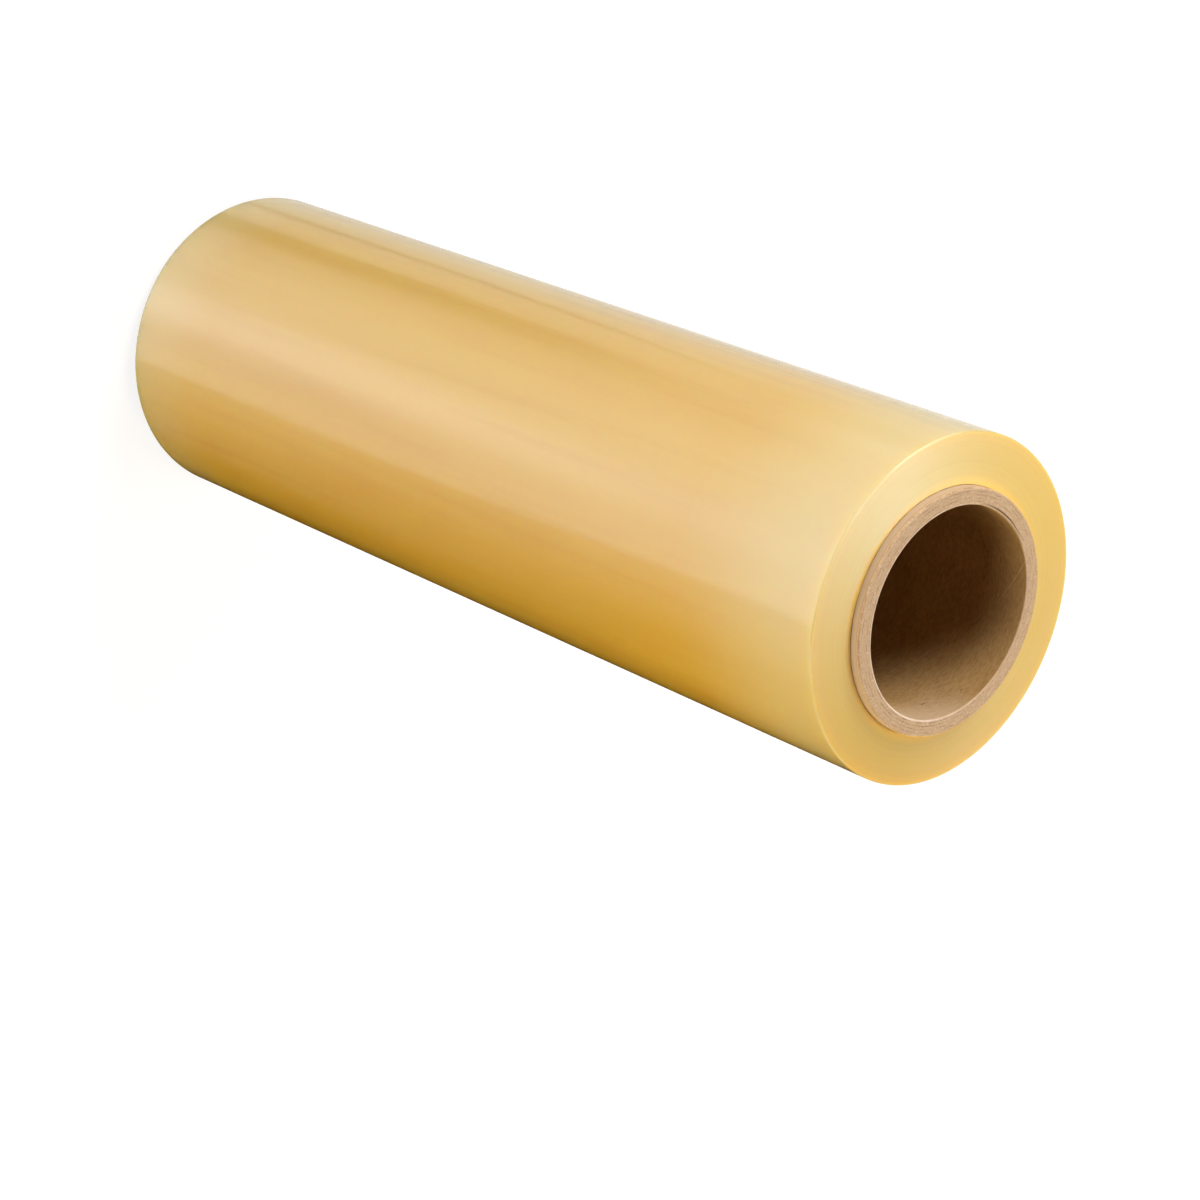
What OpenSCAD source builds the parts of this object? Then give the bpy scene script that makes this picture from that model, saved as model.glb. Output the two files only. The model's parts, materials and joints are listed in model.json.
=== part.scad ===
// Roll of cling film on a paperboard core, standing on one end.
// The film is wound tight on the core, which stands a little proud of it at
// both ends. +Z is the roll's axis, and the origin is the middle of the ring
// that the core stands on.

/* [Core] */
// Bore of the core, a 3 inch core
core_bore_d = 76.2; // [50:0.1:78]
// Wall of the core
core_wall = 6; // [3:0.5:9]
// How far the core stands out of the film at each end
core_overhang = 3.6; // [2:0.1:10]
// Rounding of the core's outer edge at each end
core_edge_r = 0.8; // [0.2:0.1:1.4]
// Chamfer of the core's inner edge at each end
core_mouth_w = 0.3; // [0.1:0.1:0.8]

/* [Film] */
// Width of the film
film_w = 400; // [250:5:600]
// Outer diameter of the winding
film_d = 126; // [110:1:200]
// Rounding of the winding's two rims
film_rim_r = 0.6; // [0.2:0.1:1]
// Bands of turns that can be told apart on the end faces
turn_bands = 8; // [3:1:12]
// How far a band of turns lies off the film's true place along the axis
turn_wander = 0.12; // [0.05:0.01:0.4]
// Width of the slope from one band to the next
turn_slope_w = 0.3; // [0.1:0.1:0.4]

/* [Hidden] */

core_colour = [0.80, 0.67, 0.52];
film_colour = [0.91, 0.77, 0.50];

$fn = 180;
arc_steps = 6;

core_in_r = core_bore_d / 2;
core_out_r = core_in_r + core_wall;
core_l = film_w + 2 * core_overhang;

// The first turn lies on the core itself
film_in_r = core_out_r;
film_out_r = film_d / 2;
film_z0 = core_overhang;
film_z1 = film_z0 + film_w;

band_w = (film_out_r - film_rim_r - film_in_r) / turn_bands;
// Angle that sets how the bands wander, so that neighbours differ
turn_swing = 105;

// Points of a quarter circle of radius r about c, from the angle a0
function quarter(c, r, a0) =
    [for (k = [0:arc_steps]) let (a = a0 + 90 * k / arc_steps) c + r * [cos(a), sin(a)]];

function reversed(points) = [for (k = [len(points) - 1:-1:0]) points[k]];

// Shift of band i along the axis, which is the same at both ends because the
// film keeps its width. The first and the last band lie true.
function wander(i) = i == 0 || i == turn_bands - 1 ? 0 : turn_wander * sin(i * turn_swing);

// Flat of band i, from its inner to its outer radius. The last one runs into
// the rim's rounding, whose first point closes it.
function band_flat(i) =
    let (from = film_in_r + i * band_w + (i == 0 ? 0 : turn_slope_w / 2),
         to = film_in_r + (i + 1) * band_w - turn_slope_w / 2)
    i == turn_bands - 1 ? [from] : [from, to];

// End face at height z, from the core outwards
function end_line(z) =
    [for (i = [0:turn_bands - 1]) for (r = band_flat(i)) [r, z + wander(i)]];

// Spiral-wound paperboard tube: a flat ring at each end, with its outer edge
// rounded by handling and its inner edge a little chamfered
module core_tube() {
    edge_x = core_out_r - core_edge_r;
    mouth_x = core_in_r + core_mouth_w;
    color(core_colour)
        rotate_extrude()
            polygon(concat(
                [[core_in_r, core_mouth_w], [mouth_x, 0]],
                quarter([edge_x, core_edge_r], core_edge_r, -90),
                quarter([edge_x, core_l - core_edge_r], core_edge_r, 0),
                [[mouth_x, core_l], [core_in_r, core_l - core_mouth_w]]
            ));
}

// All the turns of film as one solid, with the bands that they form on the ends
module film_winding() {
    rim_x = film_out_r - film_rim_r;
    color(film_colour)
        rotate_extrude()
            polygon(concat(
                end_line(film_z0),
                quarter([rim_x, film_z0 + film_rim_r], film_rim_r, -90),
                quarter([rim_x, film_z1 - film_rim_r], film_rim_r, 0),
                reversed(end_line(film_z1))
            ));
}

core_tube();
film_winding();
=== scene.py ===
# Roll of cling film on a paperboard core, standing on one end of the core.
# Metres, with +Z along the roll's axis. Angles about the axis are in degrees from
# -Y towards +X, so that the angle 0 faces the camera.
import json
import math

import bpy
import numpy as np
from mathutils import Matrix, Vector


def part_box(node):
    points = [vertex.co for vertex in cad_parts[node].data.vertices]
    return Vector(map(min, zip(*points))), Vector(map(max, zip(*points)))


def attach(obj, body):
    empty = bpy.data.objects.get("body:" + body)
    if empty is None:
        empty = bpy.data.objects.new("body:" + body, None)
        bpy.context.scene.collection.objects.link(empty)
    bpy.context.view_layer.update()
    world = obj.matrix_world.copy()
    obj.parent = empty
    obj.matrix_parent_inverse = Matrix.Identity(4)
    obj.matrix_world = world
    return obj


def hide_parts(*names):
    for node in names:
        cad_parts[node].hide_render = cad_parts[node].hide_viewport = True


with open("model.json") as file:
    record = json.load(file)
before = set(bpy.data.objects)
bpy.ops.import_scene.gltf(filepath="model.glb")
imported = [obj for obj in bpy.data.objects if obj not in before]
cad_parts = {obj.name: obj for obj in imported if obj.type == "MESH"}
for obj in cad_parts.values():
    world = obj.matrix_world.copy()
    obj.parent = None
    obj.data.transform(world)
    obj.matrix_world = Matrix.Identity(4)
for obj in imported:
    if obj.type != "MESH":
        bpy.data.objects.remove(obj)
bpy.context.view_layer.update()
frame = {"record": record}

mm = 0.001
mounts = {mount["name"]: mount for mount in frame["record"]["mounts"]}
boreR = mounts["core_bore"]["dims"]["r_mm"] * mm
coreR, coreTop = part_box("core_tube")[1].x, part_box("core_tube")[1].z
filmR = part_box("film_winding")[1].x
print("frame: core", round(coreR, 4), "film", round(filmR, 4), "height", round(coreTop, 4))


# Camera
camera = {
    "spot": (0.0, -0.84831, 1.08526),  # in front of the roll and above its upper end
    "target": (0.04303, 0.0, 0.24988),  # where the line of sight passes the roll's axis
    "roll": 113.41,  # degrees, so that the standing roll lies across the picture
    "lens": 95.721,  # mm
    "sensor": 36.0,  # mm
    "clipStart": 10 * mm,
}


def addObject(name, data):
    obj = bpy.data.objects.new(name, data)
    bpy.context.scene.collection.objects.link(obj)
    return obj


def makeCamera(d):
    spot, target = Vector(d["spot"]), Vector(d["target"])
    aim = (target - spot).to_track_quat("-Z", "Y").to_matrix().to_4x4()
    roll = Matrix.Rotation(math.radians(d["roll"]), 4, "Z")
    data = bpy.data.cameras.new("camera")
    data.lens = d["lens"]
    data.sensor_width = d["sensor"]
    data.clip_start = d["clipStart"]
    obj = addObject("camera", data)
    obj.matrix_world = Matrix.Translation(spot) @ aim @ roll
    bpy.context.scene.camera = obj


makeCamera(camera)
print("camera: lens", camera["lens"])


# Node helpers
# One node: settings are its properties, and inputs its sockets by name or
# number, each given a value or a link.
def addNode(tree, kind, inputs=None, **settings):
    node = tree.nodes.new(kind)
    for key, value in settings.items():
        setattr(node, key, value)
    for key, value in (inputs or {}).items():
        if isinstance(value, bpy.types.NodeSocket):
            tree.links.new(value, node.inputs[key])
        else:
            node.inputs[key].default_value = value
    return node


def calc(tree, operation, *values):
    return addNode(tree, "ShaderNodeMath", dict(enumerate(values)), operation=operation).outputs[0]


# Gives all outputs: 0 is a vector, and "Value" a number
def calcVector(tree, operation, *values):
    return addNode(tree, "ShaderNodeVectorMath", dict(enumerate(values)), operation=operation).outputs


# Goes smoothly from start to end while value goes from low to high
def rise(tree, value, low, high, start=0.0, end=1.0):
    inputs = {"Value": value, "From Min": low, "From Max": high, "To Min": start, "To Max": end}
    return addNode(tree, "ShaderNodeMapRange", inputs, interpolation_type="SMOOTHSTEP").outputs[0]


# 1 between start and end, with a smooth edge of the given width at each
def window(tree, value, start, end, softStart, softEnd):
    up = rise(tree, value, start - softStart / 2, start + softStart / 2)
    down = rise(tree, value, end - softEnd / 2, end + softEnd / 2, 1.0, 0.0)
    return calc(tree, "MULTIPLY", up, down)


def mixValue(tree, factor, a, b):
    return addNode(tree, "ShaderNodeMix", {0: factor, 2: a, 3: b}).outputs[0]


def mixColour(tree, factor, a, b):
    node = addNode(tree, "ShaderNodeMix", data_type="RGBA")
    for key, value in ((0, factor), (6, a), (7, b)):
        if isinstance(value, bpy.types.NodeSocket):
            tree.links.new(value, node.inputs[key])
        else:
            node.inputs[key].default_value = value if key == 0 else (*value, 1.0)
    return node.outputs[2]


# Angle about Z in degrees, from -Y towards +X, of a vector given as its parts
def angleAbout(tree, spot):
    radians = calc(tree, "ARCTAN2", spot[0], calc(tree, "MULTIPLY", spot[1], -1.0))
    return calc(tree, "MULTIPLY", radians, 180 / math.pi)


def flattened(tree, place):
    return calcVector(tree, "MULTIPLY", place, (1, 1, 0))[0]


# Distance from the axis
def radiusOf(tree, place):
    return calcVector(tree, "LENGTH", flattened(tree, place))["Value"]


def objectPlace(tree):
    return addNode(tree, "ShaderNodeTexCoord").outputs["Object"]


def parts(tree, vector):
    return addNode(tree, "ShaderNodeSeparateXYZ", {0: vector}).outputs


# Studio
# azimuth and elevation in degrees, and the light that falls on a face turned to
# the lamp: at 1.0 a colour comes out as it is written
lamps = {
    "key": {"azimuth": -80, "elevation": 30, "light": 0.86},
    "front": {"azimuth": 10, "elevation": 8, "light": 0.56},
    "right": {"azimuth": 70, "elevation": 8, "light": 0.42, "colour": (1.0, 0.86, 0.60), "flagged": True},
    "side": {"azimuth": 140, "elevation": 8, "light": 0.80, "colour": (1.0, 0.85, 0.62), "flagged": True},
    "back": {"azimuth": -175, "elevation": 50, "light": 0.28, "flagged": True},
    "top": {"azimuth": -150, "elevation": 75, "light": 0.24, "flagged": True},
}
# Small spotlights on the right of the roll's ends, which glow as the cut edges let
# light in
snoots = {
    "upper": {"high": 400 * mm, "elevation": 1, "light": 0.90, "colour": (1.0, 0.85, 0.36)},
    "lower": {"high": -10 * mm, "elevation": 6, "light": 0.30, "colour": (1.0, 0.95, 0.80)},
}
snootRig = {"azimuth": 95, "distance": 1.0, "reach": 70 * mm, "size": 0.1}
lampRig = {"distance": 1.6, "size": 0.8}

# What the gloss mirrors below the horizon, by azimuth: a large softbox on the
# camera's side, brighter at its middle and its peak, with a low stretch beyond it,
# a paler wall with a shelf and a dark line on the other side, and a dark gap
# between the two. Their levels add up. Starts, ends and levels are pairs: one for
# gloss that looks steeply down, as the lower end of the roll does to the camera,
# and one for gloss that looks less steeply. Soft has the widths of both edges.
panels = {
    "wall": {"start": (-184, -184), "end": (-84, -94), "soft": (12, 12), "level": (0.75, 0.84)},
    "shelf": {"start": (-124, -124), "end": (-68, -68), "soft": (14, 14), "level": (0.0, 0.15)},
    "box": {"start": (-84, -94), "end": (47.5, 37.5), "soft": (12, 5), "level": (0.73, 1.23)},
    "middle": {"start": (-50, -50), "end": (36, 42), "soft": (90, 90), "level": (0.38, 0.49)},
    "peak": {"start": (-16, -14), "end": (12, 12), "soft": (24, 24), "level": (0.97, 0.34)},
    "rest": {"start": (-58, -58), "end": (66, 66), "soft": (44, 50), "level": (0.46, 0.67)},
    "low": {"start": (58, 58), "end": (105, 105), "soft": (30, 30), "level": (0.16, 0.0)},
    "gap": {"start": (-95, -84), "end": (-78, -72), "soft": (4, 14), "level": (-0.52, 0.0)},
    "line": {"start": (-121.5, -107), "end": (-116.5, -103), "soft": (4, 4), "level": (-0.36, -0.10)},
}
# Bright spots above the horizon, which the ends of the roll mirror: reach is in
# degrees from the middle of a spot, where it is brightest, to its rim
ceiling = {
    "rear": {"azimuth": 180, "elevation": 65, "reach": 24, "level": 3.2},
    "low": {"azimuth": -168, "elevation": 26, "reach": 26, "level": 0.8},
    "left": {"azimuth": -120, "elevation": 65, "reach": 26, "level": 13.0},
    "zenith": {"azimuth": 0, "elevation": 90, "reach": 24, "level": 0.6},
    "leftLow": {"azimuth": -125, "elevation": 40, "reach": 34, "level": 0.5},
}
# Elevations and azimuths in degrees, and levels of light
world = {
    "foldAt": -190,  # azimuth where one turn of the panels starts and ends
    "floor": 0.55,  # straight below, up to floorAt
    "floorAt": -80,
    "floorSoft": 16,
    "steepAt": -50,  # up to here the first value of the panels' pairs holds
    "flatAt": -40,  # and from here on the second
    "horizon": 0.60,
    "horizonAt": -12,
    "horizonSoft": 6,
    "above": 0.36,
    "aboveFrom": -4,
    "aboveFull": 8,
    "ambient": 0.03,  # for all rays but those of the camera and the gloss
    "wallColour": (1.0, 0.96, 0.84),
    "boxColour": (1.0, 1.0, 0.96),
    "boxFrom": -110,  # azimuth where the wall's colour starts to turn into the box's
    "boxFull": -84,
    "ceilingColour": (1.0, 0.92, 0.72),
    "coolColour": (0.56, 0.86, 1.0),  # of a cooler spot in the ceiling
    "coolAt": (-125, 60),  # its azimuth and elevation
    "coolReach": (50, 12),  # degrees from its middle: where it starts and where it is full
}
floorLook = {"side": 6.0, "grey": 0.25, "glow": 0.82, "glowFar": 1.0, "fadeFrom": 0.5, "fadeTo": 1.6}


# Unit vector at an azimuth and an elevation in degrees
def direction(azimuth, elevation):
    a, e = math.radians(azimuth), math.radians(elevation)
    return Vector((math.sin(a) * math.cos(e), -math.cos(a) * math.cos(e), math.sin(e)))


# Puts a lamp at a distance from the spot that it shines at
def placeLamp(data, spot, way, distance):
    obj = addObject(data.name, data)
    turn = way.to_track_quat("Z", "Y").to_matrix().to_4x4()
    obj.matrix_world = Matrix.Translation(spot + distance * way) @ turn
    return obj


def makeLamps(d, rig):
    middle = Vector((0, 0, coreTop / 2))
    for name, lamp in d.items():
        data = bpy.data.lights.new(name, "AREA")
        data.shape = "DISK"
        data.size = rig["size"]
        data.energy = lamp["light"] * (math.pi * rig["distance"]) ** 2
        data.color = lamp.get("colour", (1, 1, 1))
        obj = placeLamp(data, middle, direction(lamp["azimuth"], lamp["elevation"]), rig["distance"])
        obj.visible_glossy = not lamp.get("flagged", False)


def makeSnoots(d, rig):
    for name, lamp in d.items():
        data = bpy.data.lights.new(name, "SPOT")
        data.energy = lamp["light"] * (2 * math.pi * rig["distance"]) ** 2
        data.color = lamp["colour"]
        data.spot_size = 2 * math.atan(rig["reach"] / rig["distance"])
        data.spot_blend = 1.0
        data.shadow_soft_size = rig["size"]
        spot = Vector((0, 0, lamp["high"]))
        obj = placeLamp(data, spot, direction(rig["azimuth"], lamp["elevation"]), rig["distance"])
        obj.visible_glossy = False


# The world is white to the camera, shows its panels to the gloss, and gives
# everything else a little light
def makeWorld(d, shapes, spots):
    data = bpy.data.worlds.new("studio")
    data.use_nodes = True
    data.cycles.sampling_method = "NONE"
    tree = data.node_tree
    tree.nodes.clear()
    way = addNode(tree, "ShaderNodeTexCoord").outputs["Generated"]
    wayParts = parts(tree, way)
    angle = calc(tree, "WRAP", angleAbout(tree, wayParts), d["foldAt"] + 360, d["foldAt"])
    height = calc(tree, "MULTIPLY", calc(tree, "ARCSINE", wayParts[2]), 180 / math.pi)
    flat = rise(tree, height, d["steepAt"], d["flatAt"])
    below = 0.0
    for shape in shapes.values():
        start, end, level = (mixValue(tree, flat, *shape[key]) for key in ("start", "end", "level"))
        softStart, softEnd = (width / 2 for width in shape["soft"])
        up = rise(tree, calc(tree, "SUBTRACT", angle, start), -softStart, softStart)
        down = rise(tree, calc(tree, "SUBTRACT", angle, end), -softEnd, softEnd, 1.0, 0.0)
        below = calc(tree, "MULTIPLY_ADD", calc(tree, "MULTIPLY", up, down), level, below)
    overFloor = rise(tree, height, d["floorAt"], d["floorAt"] + d["floorSoft"])
    below = mixValue(tree, overFloor, d["floor"], below)
    above = d["above"]
    for spot in spots.values():
        toSpot = direction(spot["azimuth"], spot["elevation"])
        dot = calcVector(tree, "DOT_PRODUCT", way, toSpot)["Value"]
        near = rise(tree, dot, math.cos(math.radians(spot["reach"])), 1.0)
        above = calc(tree, "MULTIPLY_ADD", near, spot["level"], above)
    overHorizon = rise(tree, height, d["aboveFrom"], d["aboveFull"])
    soft = d["horizonSoft"]
    atHorizon = rise(tree, height, d["horizonAt"] - soft, d["horizonAt"] + soft)
    mirrored = mixValue(tree, atHorizon, below, d["horizon"])
    mirrored = mixValue(tree, overHorizon, mirrored, above)
    path = addNode(tree, "ShaderNodeLightPath").outputs
    level = mixValue(tree, path["Is Glossy Ray"], d["ambient"], mirrored)
    level = mixValue(tree, path["Is Camera Ray"], level, 1.0)
    atBox = rise(tree, angle, d["boxFrom"], d["boxFull"])
    colour = mixColour(tree, atBox, d["wallColour"], d["boxColour"])
    dot = calcVector(tree, "DOT_PRODUCT", way, direction(*d["coolAt"]))["Value"]
    outer, inner = (math.cos(math.radians(reach)) for reach in d["coolReach"])
    cool = rise(tree, dot, outer, inner)
    over = mixColour(tree, cool, d["ceilingColour"], d["coolColour"])
    colour = mixColour(tree, overHorizon, colour, over)
    colour = mixColour(tree, path["Is Glossy Ray"], (1, 1, 1), colour)
    background = addNode(tree, "ShaderNodeBackground", {"Color": colour, "Strength": level})
    addNode(tree, "ShaderNodeOutputWorld", {"Surface": background.outputs[0]})
    bpy.context.scene.world = data


# White to the camera apart from the roll's soft shadow, and grey to other rays
def makeFloor(d):
    half = d["side"] / 2
    corners = [(-half, -half, 0), (half, -half, 0), (half, half, 0), (-half, half, 0)]
    data = bpy.data.meshes.new("floor")
    data.from_pydata(corners, [], [(0, 1, 2, 3)])
    floor = addObject("floor", data)
    floor.visible_glossy = False  # the panels of the world are mirrored, and not the floor
    material = bpy.data.materials.new("floor")
    material.use_nodes = True
    tree = material.node_tree
    tree.nodes.clear()
    path = addNode(tree, "ShaderNodeLightPath").outputs
    away = radiusOf(tree, objectPlace(tree))
    glow = rise(tree, away, d["fadeFrom"], d["fadeTo"], d["glow"], d["glowFar"])
    glow = calc(tree, "MULTIPLY", path["Is Camera Ray"], glow)
    diffuse = addNode(tree, "ShaderNodeBsdfDiffuse", {"Color": (d["grey"], d["grey"], d["grey"], 1)})
    emission = addNode(tree, "ShaderNodeEmission", {"Color": (1, 1, 1, 1), "Strength": glow})
    both = addNode(tree, "ShaderNodeAddShader", {0: diffuse.outputs[0], 1: emission.outputs[0]})
    addNode(tree, "ShaderNodeOutputMaterial", {"Surface": both.outputs[0]})
    data.materials.append(material)


makeLamps(lamps, lampRig)
makeSnoots(snoots, snootRig)
makeWorld(world, panels, ceiling)
makeFloor(floorLook)
bpy.context.scene.view_settings.view_transform = "Standard"
print("studio:", len(lamps), "lamps,", len(panels), "panels")


# Mesh helpers
# Quarter circle of the radius r about (x, z), from the angle start on
def quarter(x, z, r, start, steps=6):
    t = np.radians(start + 90 * np.arange(steps + 1) / steps)
    return np.stack([x + r * np.cos(t), z + r * np.sin(t)], 1)


# Joins stretches of a section's outline, each with the number of its material
def joined(stretches):
    outline = np.concatenate([points for points, _ in stretches])
    rowMaterial = np.concatenate([np.full(len(points), number) for points, number in stretches])
    return outline, rowMaterial


# Surface closed both ways from three grids: the radius, the angle and the height
# of each point. Rows follow the section's outline and columns go round the axis,
# with x = r sin(angle) and y = -r cos(angle). Each square takes its row's material.
def closedSkin(name, radius, angle, height, rowMaterial, materials):
    points = np.stack([radius * np.sin(angle), -radius * np.cos(angle), height], -1)
    rows, columns = radius.shape
    r, c = np.meshgrid(np.arange(rows), np.arange(columns), indexing="ij")
    rNext, cNext = (r + 1) % rows, (c + 1) % columns
    quads = [r * columns + c, r * columns + cNext, rNext * columns + cNext, rNext * columns + c]
    quads = np.stack(quads, -1).reshape(-1, 4)
    data = bpy.data.meshes.new(name)
    data.vertices.add(rows * columns)
    data.vertices.foreach_set("co", points.astype(np.float32).ravel())
    data.loops.add(quads.size)
    data.loops.foreach_set("vertex_index", quads.astype(np.int32).ravel())
    data.polygons.add(len(quads))
    data.polygons.foreach_set("loop_start", np.arange(0, quads.size, 4, dtype=np.int32))
    data.polygons.foreach_set("loop_total", np.full(len(quads), 4, dtype=np.int32))
    data.polygons.foreach_set("material_index", np.repeat(rowMaterial.astype(np.int32), columns))
    data.polygons.foreach_set("use_smooth", np.ones(len(quads), dtype=bool))
    data.update(calc_edges=True)
    for material in materials:
        data.materials.append(material)
    return addObject(name, data)


# Material helpers
grainHeight = 0.2 * mm  # between the lowest and the highest places of a fine pattern


def principled(name):
    material = bpy.data.materials.new(name)
    material.use_nodes = True
    tree = material.node_tree
    tree.nodes.clear()
    shader = addNode(tree, "ShaderNodeBsdfPrincipled")
    addNode(tree, "ShaderNodeOutputMaterial", {"Surface": shader.outputs[0]})
    return material, tree, shader


def setShader(shader, values):
    for key, value in values.items():
        shader.inputs[key].default_value = value


def noise(tree, vector, scale, detail=2.0, rough=0.5):
    inputs = {"Vector": vector, "Scale": scale, "Detail": detail, "Roughness": rough}
    return addNode(tree, "ShaderNodeTexNoise", inputs).outputs["Fac"]


def stretched(tree, vector, scale, location=(0, 0, 0)):
    inputs = {"Vector": vector, "Scale": scale, "Location": location}
    return addNode(tree, "ShaderNodeMapping", inputs).outputs[0]


# Noise whose spots are drawn out round the axis: along is the number of spots in a
# radian, and across their number in a metre of the radius
def ringNoise(tree, place, along, across, detail=2.0, rough=0.5):
    way = calcVector(tree, "NORMALIZE", flattened(tree, place))[0]
    high = calc(tree, "MULTIPLY", radiusOf(tree, place), across)
    lift = addNode(tree, "ShaderNodeCombineXYZ", {2: high}).outputs[0]
    spread = addNode(tree, "ShaderNodeVectorMath", {0: way, "Scale": along}, operation="SCALE").outputs[0]
    return noise(tree, calcVector(tree, "ADD", spread, lift)[0], 1.0, detail, rough)


# Noise drawn out along the roll: reach is the share of its scale that is left there
def streaks(tree, place, reach, scale, detail):
    return noise(tree, stretched(tree, place, (1, 1, reach)), scale, detail)


# Links a fine pattern's relief to one of the shader's normals
def addGrain(tree, shader, target, strength, pattern, **more):
    inputs = {"Strength": strength, "Distance": grainHeight, "Height": pattern, **more}
    bump = addNode(tree, "ShaderNodeBump", inputs).outputs[0]
    tree.links.new(bump, shader.inputs[target])
    return bump


# Winding of film
winding = {
    "low": coreTop / 2 - 200 * mm,
    "high": coreTop / 2 + 200 * mm,
    "columns": 320,
    "sideRows": 150,
    "endRows": 40,
    "rimR": 0.6 * mm,
    "innerR": 0.25 * mm,  # rounding next to the core
    "slack": 0.04 * mm,  # between the core and the first turn
    "bands": 8,  # of turns that can be told apart on the ends
    "bandHeight": 0.04 * mm,
    "bandSwing": 105,  # degrees from one band to the next
    # waves of slack along the roll: count round it, depth in mm, degrees at the
    # lower end, and degrees that they turn by on the way up
    "waves": ((3, 0.050, 20, 14), (5, 0.030, 75, -9), (8, 0.016, 140, 6), (13, 0.007, 10, 4)),
    # thick places of the film, as rings: share of the height, width and height in mm
    "rings": ((0.09, 9.0, 0.030), (0.31, 16.0, 0.020), (0.62, 12.0, 0.018), (0.88, 10.0, 0.030)),
}
filmLook = {
    "colour": (0.738, 0.452, 0.060),
    "deep": (0.668, 0.355, 0.030),  # where the turns cling so tightly that no air is between them
    "pale": (0.740, 0.550, 0.200),  # next to the ends, where light comes in through the cut edges
    "paleReach": (50 * mm, 75 * mm),  # at the lower and at the upper end
    "paleBy": (0.6, 1.0),
    # lengthwise patterns: share of their scale left along the roll, spots in a metre, detail
    "broad": (0.12, 28.0, 3.0),
    "streak": (0.03, 160.0, 3.0),
    "crease": (0.008, 520.0, 1.0),
    "grain": (0.02, 420.0, 2.0),
    "rimHighlightColours": ((0.700, 0.470, 0.140), (0.760, 0.580, 0.260)),
    # fine lengthwise creases, with a painted dark reflection along them, between two angles in degrees,
    # that come in between two heights
    "creasedAngles": (-77, -62),
    "creasedSoft": 5,
    "creasedHeights": (160 * mm, 240 * mm),
    "creaseDarkReflection": (0.420, 0.220, 0.030),
    "cut": (0.776, 0.498, 0.051),  # cut edges of the turns
    "turns": 900.0,  # faint rings in a metre of the radius
    "turnWobble": 0.6 * mm,
    "glow": (0.940, 0.560, 0.036),  # painted light next to the core: a brighter orange where the film's edge glows
    "glowReach": 4.5 * mm,
    "shader": {
        "Subsurface Weight": 1.0,
        "Subsurface Radius": (1.0, 0.75, 0.35),  # how far red, green and blue spread in the roll
        "Specular IOR Level": 0.5,
        "Coat Weight": 1.0,
        "Coat IOR": 1.5,
    },
    "side": {"Roughness": 0.28, "Coat Roughness": 0.09, "Subsurface Scale": 7 * mm},
    "sideSpread": 12 * mm,  # spread of light next to the ends
    "ends": {"Roughness": 0.60, "Coat Roughness": 0.40, "Anisotropic": 0.7, "Anisotropic Rotation": 0.25},
    "endLean": 10,  # degrees that the cut edges of the turns lean outwards
    "endSpread": 6 * mm,  # at most, and coreSpread where the ends meet the core
    "coreSpread": 0.15 * mm,
    "rim": {
        "Roughness": 0.40,
        "Coat Roughness": 0.25,
        "Coat Weight": 0.5,
        "Subsurface Weight": 0.35,
        "Subsurface Scale": 1.5 * mm,
    },
}


# How far the side lies inside its true radius: a sum of cosines round the roll,
# whose phase turns slowly up it, and bell-shaped rings, all shifted inwards so
# that no point stands outside the roll
def sideRelief(angle, share, d):
    relief = np.zeros_like(angle)
    for count, depth, start, swing in d["waves"]:
        relief += depth * (np.cos(count * angle + np.radians(start + swing * count * share)) - 1)
    for place, width, height in d["rings"]:
        away = (share - place) * (d["high"] - d["low"]) / (width * mm)
        relief += height * (np.exp(-away ** 2) - 1)
    return relief * mm


# Height of an end face at the radius r: each band of turns stands a little off
# the next, as a sum of raised cosines centred on the bands
def bandRelief(r, d):
    width = (r[-1] - r[0]) / d["bands"]
    band = np.arange(1, d["bands"] - 1)
    offset = d["bandHeight"] * np.sin(np.radians(d["bandSwing"] * band))
    away = np.clip((r[:, None] - r[0]) / width - band - 0.5, -1, 1)
    return (offset * (1 + np.cos(np.pi * away)) / 2).sum(1)


def makeWinding(d, materials):
    low, high, rim, innerR = d["low"], d["high"], d["rimR"], d["innerR"]
    inner = coreR + d["slack"]
    r = np.linspace(inner + innerR, filmR - rim, d["endRows"])
    bands = bandRelief(r, d)
    side = np.linspace(low + rim, high - rim, d["sideRows"])
    outline, rowMaterial = joined([
        (quarter(inner + innerR, low + innerR, innerR, 180)[:-1], 1),
        (np.stack([r, low + bands], 1), 1),
        (quarter(filmR - rim, low + rim, rim, -90)[1:-1], 2),
        (np.stack([np.full_like(side, filmR), side], 1), 0),
        (quarter(filmR - rim, high - rim, rim, 0)[1:-1], 2),
        (np.stack([r, high + bands], 1)[::-1], 1),
        (quarter(inner + innerR, high - innerR, innerR, 90)[1:], 1),
    ])
    turn = np.linspace(0, 2 * np.pi, d["columns"], endpoint=False)
    shape = (len(outline), len(turn))
    angle = np.broadcast_to(turn, shape)
    height = np.broadcast_to(outline[:, 1:], shape)
    share = np.clip((height - low) / (high - low), 0, 1)
    onSide = np.clip((outline[:, :1] - r[-1]) / rim, 0, 1)
    radius = outline[:, :1] + onSide * sideRelief(angle, share, d)
    obj = closedSkin("film_winding_skin", radius, angle, height, rowMaterial, materials)
    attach(obj, "root")
    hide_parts("film_winding")


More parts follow.
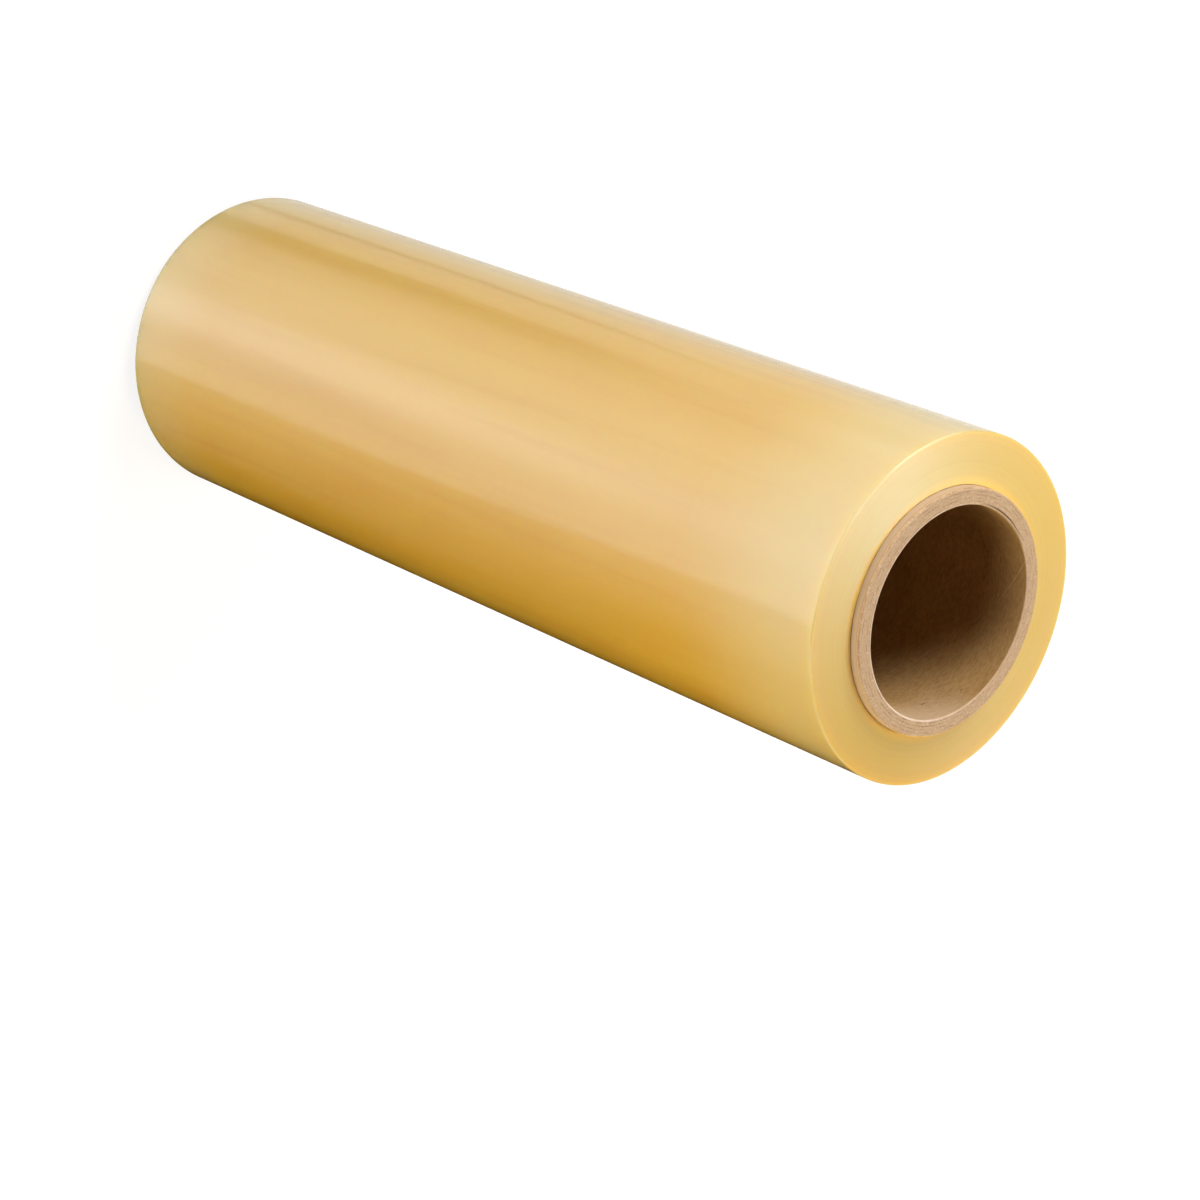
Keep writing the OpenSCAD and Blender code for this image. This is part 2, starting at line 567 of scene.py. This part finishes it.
# Side of the roll: honey film in lengthwise streaks, where the turns cling more
# or less tightly, under a clear gloss
def filmSideMaterial(d):
    material, tree, shader = principled("filmSide")
    place = objectPlace(tree)
    broad = streaks(tree, place, *d["broad"])
    streak = streaks(tree, place, *d["streak"])
    tight = calc(tree, "MULTIPLY", rise(tree, broad, 0.35, 0.75), 0.5)
    tight = calc(tree, "MULTIPLY_ADD", rise(tree, streak, 0.45, 0.75), 0.35, tight)
    spot = parts(tree, place)
    high = spot[2]
    lowReach, highReach = d["paleReach"]
    atLow = rise(tree, high, winding["low"], winding["low"] + lowReach, d["paleBy"][0], 0.0)
    atHigh = rise(tree, high, winding["high"] - highReach, winding["high"], 0.0, d["paleBy"][1])
    out = calc(tree, "MAXIMUM", atLow, atHigh)
    colour = mixColour(tree, tight, d["colour"], d["deep"])
    colour = mixColour(tree, out, colour, d["pale"])
    soft = d["creasedSoft"]
    creased = window(tree, angleAbout(tree, spot), *d["creasedAngles"], soft, soft)
    creased = calc(tree, "MULTIPLY", creased, rise(tree, high, *d["creasedHeights"]))
    crease = streaks(tree, place, *d["crease"])
    # painted reflection: the creases are drawn as dark lines in the colour, besides their real relief in
    # the gloss
    line = calc(tree, "MULTIPLY", rise(tree, crease, 0.54, 0.64, 0.0, 0.75), creased)
    tree.links.new(mixColour(tree, line, colour, d["creaseDarkReflection"]), shader.inputs["Base Color"])
    fine = streaks(tree, place, *d["grain"])
    fine = calc(tree, "MULTIPLY_ADD", calc(tree, "MULTIPLY", crease, creased), 25.0, fine)
    addGrain(tree, shader, "Coat Normal", 0.06, fine)
    setShader(shader, {**d["shader"], **d["side"]})
    near = d["side"]["Subsurface Scale"]
    spread = calc(tree, "MULTIPLY_ADD", out, d["sideSpread"] - near, near)
    tree.links.new(spread, shader.inputs["Subsurface Scale"])
    return material


# Ends of the roll: the cut edges of the turns, a little frosted, with faint rings.
# Their gloss spreads across the rings and hardly along them, as on a record.
def filmEndMaterial(d):
    material, tree, shader = principled("filmEnds")
    place = objectPlace(tree)
    radius = radiusOf(tree, place)
    wobble = calc(tree, "MULTIPLY", noise(tree, place, 18.0, 1.0), d["turnWobble"])
    across = addNode(tree, "ShaderNodeCombineXYZ", {0: calc(tree, "ADD", radius, wobble)}).outputs[0]
    turns = noise(tree, across, d["turns"], 4.0, 0.7)
    tight = calc(tree, "MULTIPLY", rise(tree, turns, 0.4, 0.7), 0.25)
    # painted light: towards the core the colour turns to the brighter glow
    away = rise(tree, radius, coreR, coreR + d["glowReach"])
    colour = mixColour(tree, away, d["glow"], d["cut"])
    tree.links.new(mixColour(tree, tight, colour, d["deep"]), shader.inputs["Base Color"])
    slope = calc(tree, "MULTIPLY", radius, -math.tan(math.radians(d["endLean"])))
    lean = addNode(tree, "ShaderNodeBump", {"Strength": 1.0, "Distance": 1.0, "Height": slope}).outputs[0]
    bump = addGrain(tree, shader, "Normal", 0.10, turns, Normal=lean)
    tree.links.new(bump, shader.inputs["Coat Normal"])
    tangent = addNode(tree, "ShaderNodeTangent", direction_type="RADIAL", axis="Z")
    tree.links.new(tangent.outputs[0], shader.inputs["Tangent"])
    setShader(shader, {**d["shader"], **d["ends"]})
    # the core turns light back, so less of it is lost there
    spread = calc(tree, "MULTIPLY_ADD", calc(tree, "SUBTRACT", radius, coreR), 0.5, d["coreSpread"])
    tree.links.new(calc(tree, "MINIMUM", spread, d["endSpread"]), shader.inputs["Subsurface Scale"])
    return material


# Rounded rims, painted pale as a highlight along the rounded edges
def filmRimMaterial(d):
    material, tree, shader = principled("filmRim")
    place = objectPlace(tree)
    patchy = rise(tree, noise(tree, place, 40.0, 2.0), 0.35, 0.65)
    # painted highlight: the rims take two pale colours in patches, on top of their real gloss
    tree.links.new(mixColour(tree, patchy, *d["rimHighlightColours"]), shader.inputs["Base Color"])
    addGrain(tree, shader, "Coat Normal", 0.10, noise(tree, place, 700.0, 2.0))
    setShader(shader, {**d["shader"], **d["rim"]})
    return material


makeWinding(winding, [filmSideMaterial(filmLook), filmEndMaterial(filmLook), filmRimMaterial(filmLook)])
print("winding: done")


# Core
core = {
    "columns": 240,
    "wallRows": 204,
    "outerRows": 60,
    "pitch": 150 * mm,  # height that the inner ply's seam climbs in one turn
    "seamAngle": 146.5,  # degrees, at the height seamHeight
    "seamHeight": 375 * mm,
    "seamWidth": 0.5 * mm,
    "seamDepth": 0.15 * mm,
    "mouth": 0.3 * mm,
    "edgeR": 0.8 * mm,
    "ply": 1.2 * mm,
    "plyGroove": 0.05 * mm,
    "faceRows": 32,
    "outerFrom": 1.2 * mm,  # height where the outer wall's first row lies
    # inner ply that has come loose at the upper mouth, between two angles in degrees
    "looseFrom": -122,
    "looseTo": -82,
    "looseBy": 0.3 * mm,
    "looseRows": (0.7 * mm, 1.4 * mm, 2.2 * mm, 3.2 * mm),
}
boardLook = {
    "cut": (0.610, 0.405, 0.240),
    "cutDark": (0.420, 0.250, 0.130),
    "cutPale": (0.760, 0.570, 0.390),
    "liner": (0.480, 0.290, 0.115),
    "linerDark": (0.330, 0.170, 0.050),
    "outer": (0.560, 0.430, 0.325),
    "edge": (0.820, 0.640, 0.480),  # torn edge of the inner ply at the mouth
    "tornAt": 30,  # degrees: the side of the mouth that is torn
    "tornReach": (0.45 * mm, 0.75 * mm),  # from the bore's wall
    # near-black brown of the cracks and nicks, also used for the painted shade where the film ends
    # against the outer wall
    "crackAndPaintedShade": (0.100, 0.050, 0.022),
    "crackAt": (0.35 * mm, 0.9 * mm),  # from the bore's wall, under the loose ply
    "crackSoft": 0.2 * mm,
    "plyLine": (0.10 * mm, 0.32 * mm),  # from its middle: where it starts to fade and where it ends
    "paintedJoinShade": (0.05 * mm, 0.35 * mm),  # the same for the painted shade where the film meets the core, from the end of the film
    # painted light on the bore, paler towards the upper mouth: angles in degrees, and depths under the
    # upper mouth
    "paintedLightAngles": (78, 132),
    "paintedLightSoft": 30,
    "paintedLightDepths": (22 * mm, 2 * mm),
    # nicks in the bore: angle in degrees, height, and half of the length and width in mm
    "nicks": ((142, 399.9, 0.8, 0.30), (121, 394.9, 1.9, 0.32)),
}


# Columns round the bore: evenly spread, and closer together next to the seam,
# which runs along the first one
def seamColumns(d):
    close = np.array([-1.6, -1.0, -0.55, -0.45, 0.0, 0.45, 0.55, 1.0, 1.6]) * d["seamWidth"] / boreR
    even = np.arange(d["columns"]) * 2 * np.pi / d["columns"]
    even = even[(even > 1.5 * close[-1]) & (even < 2 * np.pi - 1.5 * close[-1])]
    return np.sort(np.concatenate([close % (2 * np.pi), even]))


# Tube whose section goes round the axis. On the bore's wall the columns climb as a
# helix, so that the seam's groove follows one of them. On the outer wall they go
# back by what is left of that twist once its whole turns are taken off.
def makeCore(d, materials):
    mouth, edgeR = d["mouth"], d["edgeR"]
    wall = np.linspace(mouth, coreTop - mouth - d["looseRows"][-1], d["wallRows"])
    wall = np.append(wall, coreTop - mouth - np.array([*d["looseRows"][-2::-1], 0]))
    face = np.linspace(boreR + mouth, coreR - edgeR, d["faceRows"])
    groove = d["plyGroove"] * np.clip(np.cos(2 * np.pi * (face - boreR) / d["ply"]), 0, 1) ** 4
    outer = np.linspace(d["outerFrom"], coreTop - d["outerFrom"], d["outerRows"])
    outline, rowMaterial = joined([
        (np.stack([face, groove], 1), 1),
        (quarter(coreR - edgeR, edgeR, edgeR, -90)[1:], 1),
        (np.stack([np.full_like(outer, coreR), outer], 1), 2),
        (quarter(coreR - edgeR, coreTop - edgeR, edgeR, 0)[:-1], 1),
        (np.stack([face, coreTop - groove], 1)[::-1], 1),
        (np.stack([np.full_like(wall, boreR), wall], 1)[::-1], 0),
    ])
    columns = seamColumns(d)
    onWall = np.isclose(outline[:, 0], boreR)
    climb = np.clip(outline[:, 1] - mouth, 0, wall[-1] - mouth)
    turns = (wall[-1] - mouth) / d["pitch"]
    twist = np.where(onWall, climb / d["pitch"], climb / (wall[-1] - mouth) * (turns - round(turns)))
    start = math.radians(d["seamAngle"]) - 2 * np.pi * (d["seamHeight"] - mouth) / d["pitch"]
    angle = start + 2 * np.pi * twist[:, None] + columns
    across = np.minimum(columns, 2 * np.pi - columns) * boreR / d["seamWidth"]
    seam = onWall[:, None] * np.clip((0.55 - across) / 0.1, 0, 1)
    turned = (np.degrees(angle) + 180) % 360 - 180
    middle, half = (d["looseFrom"] + d["looseTo"]) / 2, (d["looseTo"] - d["looseFrom"]) / 2
    loose = np.clip(1 - ((turned - middle) / half) ** 2, 0, 1) ** 0.7
    nearTop = np.clip(1 - (coreTop - mouth - outline[:, 1]) / d["looseRows"][-1], 0, 1) ** 1.5
    inwards = d["looseBy"] * loose * (onWall * nearTop)[:, None]
    radius = outline[:, :1] + d["seamDepth"] * seam - inwards
    height = np.broadcast_to(outline[:, 1:], radius.shape)
    rowMaterial[-1] = 1
    obj = closedSkin("core_tube_skin", radius, angle, height, rowMaterial, materials)
    for name, values in (("seam", seam), ("loose", loose * (outline[:, 1] > coreTop / 2)[:, None])):
        mark = obj.data.attributes.new(name, "FLOAT", "POINT")
        mark.data.foreach_set("value", values.astype(np.float32).ravel())
    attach(obj, "root")
    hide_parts("core_tube")


# Brown paper with long fibres round the tube: its colour and the fibres' height
def paper(tree, place, d):
    fibre = noise(tree, stretched(tree, place, (1, 1, 3.5)), 420.0, 4.0, 0.65)
    cloud = noise(tree, place, 60.0, 3.0)
    dark = calc(tree, "MULTIPLY", rise(tree, cloud, 0.35, 0.7), 0.35)
    dark = calc(tree, "MULTIPLY_ADD", rise(tree, fibre, 0.40, 0.65), 0.60, dark)
    return mixColour(tree, dark, d["liner"], d["linerDark"]), fibre


# 1 in a spot on the bore's wall, given its angle, height and half sizes along the
# hoop and the axis
def spotOn(tree, place, angle, high, half, halfHigh):
    a = math.radians(angle)
    inputs = {
        "Vector": place,
        "Location": (boreR * math.sin(a), -boreR * math.cos(a), high),
        "Rotation": (0, 0, a),
        "Scale": (half, 1, halfHigh),
    }
    near = addNode(tree, "ShaderNodeMapping", inputs, vector_type="TEXTURE").outputs[0]
    return rise(tree, calcVector(tree, "LENGTH", near)["Value"], 0.4, 1.0, 1.0, 0.0)


# Paper of the bore, with the pale edge of the seam, a few nicks, and painted light on one side near the
# upper mouth
def linerMaterial(d):
    material, tree, shader = principled("boardLiner")
    place = objectPlace(tree)
    colour, fibre = paper(tree, place, d)
    seam = addNode(tree, "ShaderNodeAttribute", attribute_name="seam").outputs["Fac"]
    faded = rise(tree, noise(tree, place, 22.0, 2.0), 0.38, 0.6, 0.15, 0.8)
    colour = mixColour(tree, calc(tree, "MULTIPLY", seam, faded), colour, d["cutPale"])
    spot = parts(tree, place)
    soft = d["paintedLightSoft"]
    # painted light: a patch of the bore between two angles is made paler towards the upper mouth, where
    # light falls in
    around = window(tree, angleAbout(tree, spot), *d["paintedLightAngles"], soft, soft)
    paintedLight = rise(tree, spot[2], *(coreTop - depth for depth in d["paintedLightDepths"]), 0.0, 0.45)
    colour = mixColour(tree, calc(tree, "MULTIPLY", around, paintedLight), colour, d["cutPale"])
    height = fibre
    for angle, high, half, halfHigh in d["nicks"]:
        nick = spotOn(tree, place, angle, high * mm, half * mm, halfHigh * mm)
        colour = mixColour(tree, calc(tree, "MULTIPLY", nick, 0.85), colour, d["crackAndPaintedShade"])
        height = calc(tree, "MULTIPLY_ADD", nick, -3.0, height)
    tree.links.new(colour, shader.inputs["Base Color"])
    addGrain(tree, shader, "Normal", 0.5, height)
    setShader(shader, {"Roughness": 0.75, "Specular IOR Level": 0.25})
    return material


# Paper of the outer wall, with patchy painted shade where the film ends against it
def outerMaterial(d):
    material, tree, shader = principled("boardOuter")
    place = objectPlace(tree)
    colour, fibre = paper(tree, place, d)
    high = parts(tree, place)[2]
    fromMiddle = calc(tree, "ABSOLUTE", calc(tree, "SUBTRACT", high, coreTop / 2))
    fromFilm = calc(tree, "SUBTRACT", fromMiddle, winding["high"] - coreTop / 2)
    patchy = rise(tree, noise(tree, place, 150.0, 2.0), 0.42, 0.66, 0.0, 0.4)
    # painted shade: a patchy dark band on the wall next to the end of the film
    paintedJoinShade = calc(tree, "MULTIPLY", rise(tree, fromFilm, *d["paintedJoinShade"], 1.0, 0.0), patchy)
    hoop = calc(tree, "MULTIPLY_ADD", ringNoise(tree, place, 12.0, 100.0), 0.6 * mm, high)
    level = addNode(tree, "ShaderNodeCombineXYZ", {2: hoop}).outputs[0]
    scored = rise(tree, noise(tree, level, 1500.0, 1.0), 0.58, 0.68, 0.0, 0.7)
    colour = mixColour(tree, scored, mixColour(tree, 0.80, colour, d["outer"]), d["linerDark"])
    tree.links.new(mixColour(tree, paintedJoinShade, colour, d["crackAndPaintedShade"]), shader.inputs["Base Color"])
    addGrain(tree, shader, "Normal", 0.35, fibre)
    setShader(shader, {"Roughness": 0.75, "Specular IOR Level": 0.25})
    return material


# Sawn end of the board: specks and cut fibres, faint lines between the plies, and
# the pale torn edge of the inner ply
def cutMaterial(d):
    material, tree, shader = principled("boardCut")
    place = objectPlace(tree)
    radius = radiusOf(tree, place)
    patch = noise(tree, place, 45.0, 1.0)
    speck = noise(tree, place, 1400.0, 3.0, 0.7)
    fibre = ringNoise(tree, place, 40.0, 3200.0, 3.0, 0.6)
    cloud = noise(tree, place, 260.0, 3.0)
    grain = mixValue(tree, rise(tree, patch, 0.35, 0.65), speck, fibre)
    dark = calc(tree, "MULTIPLY", rise(tree, cloud, 0.4, 0.8), 0.25)
    dark = calc(tree, "MULTIPLY_ADD", rise(tree, grain, 0.48, 0.72), 0.75, dark)
    wobble = calc(tree, "MULTIPLY", ringNoise(tree, place, 6.0, 300.0), 0.5 * mm)
    depth = calc(tree, "SUBTRACT", radius, boreR)
    inPly = calc(tree, "PINGPONG", calc(tree, "ADD", depth, wobble), core["ply"] / 2)
    broken = rise(tree, ringNoise(tree, place, 9.0, 900.0), 0.42, 0.62)
    line = calc(tree, "MULTIPLY", rise(tree, inPly, *d["plyLine"], 0.85, 0.0), broken)
    dark = calc(tree, "MAXIMUM", dark, line)
    colour = mixColour(tree, dark, d["cut"], d["cutDark"])
    pale = noise(tree, stretched(tree, place, (1, 1, 1), (3, 1, 2)), 1100.0, 2.0, 0.6)
    pale = calc(tree, "MULTIPLY", rise(tree, pale, 0.52, 0.74), 0.75)
    colour = mixColour(tree, pale, colour, d["cutPale"])
    loose = addNode(tree, "ShaderNodeAttribute", attribute_name="loose").outputs["Fac"]
    crackAndPaintedShade = window(tree, depth, *d["crackAt"], d["crackSoft"], d["crackSoft"])
    colour = mixColour(tree, calc(tree, "MULTIPLY", crackAndPaintedShade, loose), colour, d["crackAndPaintedShade"])
    side = calcVector(tree, "DOT_PRODUCT", place, direction(d["tornAt"], 0))["Value"]
    onSide = rise(tree, side, -0.5 * boreR, 0.4 * boreR, 0.1, 1.0)
    torn = rise(tree, ringNoise(tree, place, 5.0, 100.0), 0.35, 0.55, 0.5, 1.0)
    torn = calc(tree, "MULTIPLY", rise(tree, depth, *d["tornReach"], 1.0, 0.0), torn)
    torn = calc(tree, "MULTIPLY", torn, onSide)
    tree.links.new(mixColour(tree, torn, colour, d["edge"]), shader.inputs["Base Color"])
    height = calc(tree, "MULTIPLY_ADD", line, -0.6, grain)
    addGrain(tree, shader, "Normal", 0.5, height)
    setShader(shader, {"Roughness": 0.85, "Specular IOR Level": 0.2})
    return material


makeCore(core, [linerMaterial(boardLook), cutMaterial(boardLook), outerMaterial(boardLook)])
print("core: done")
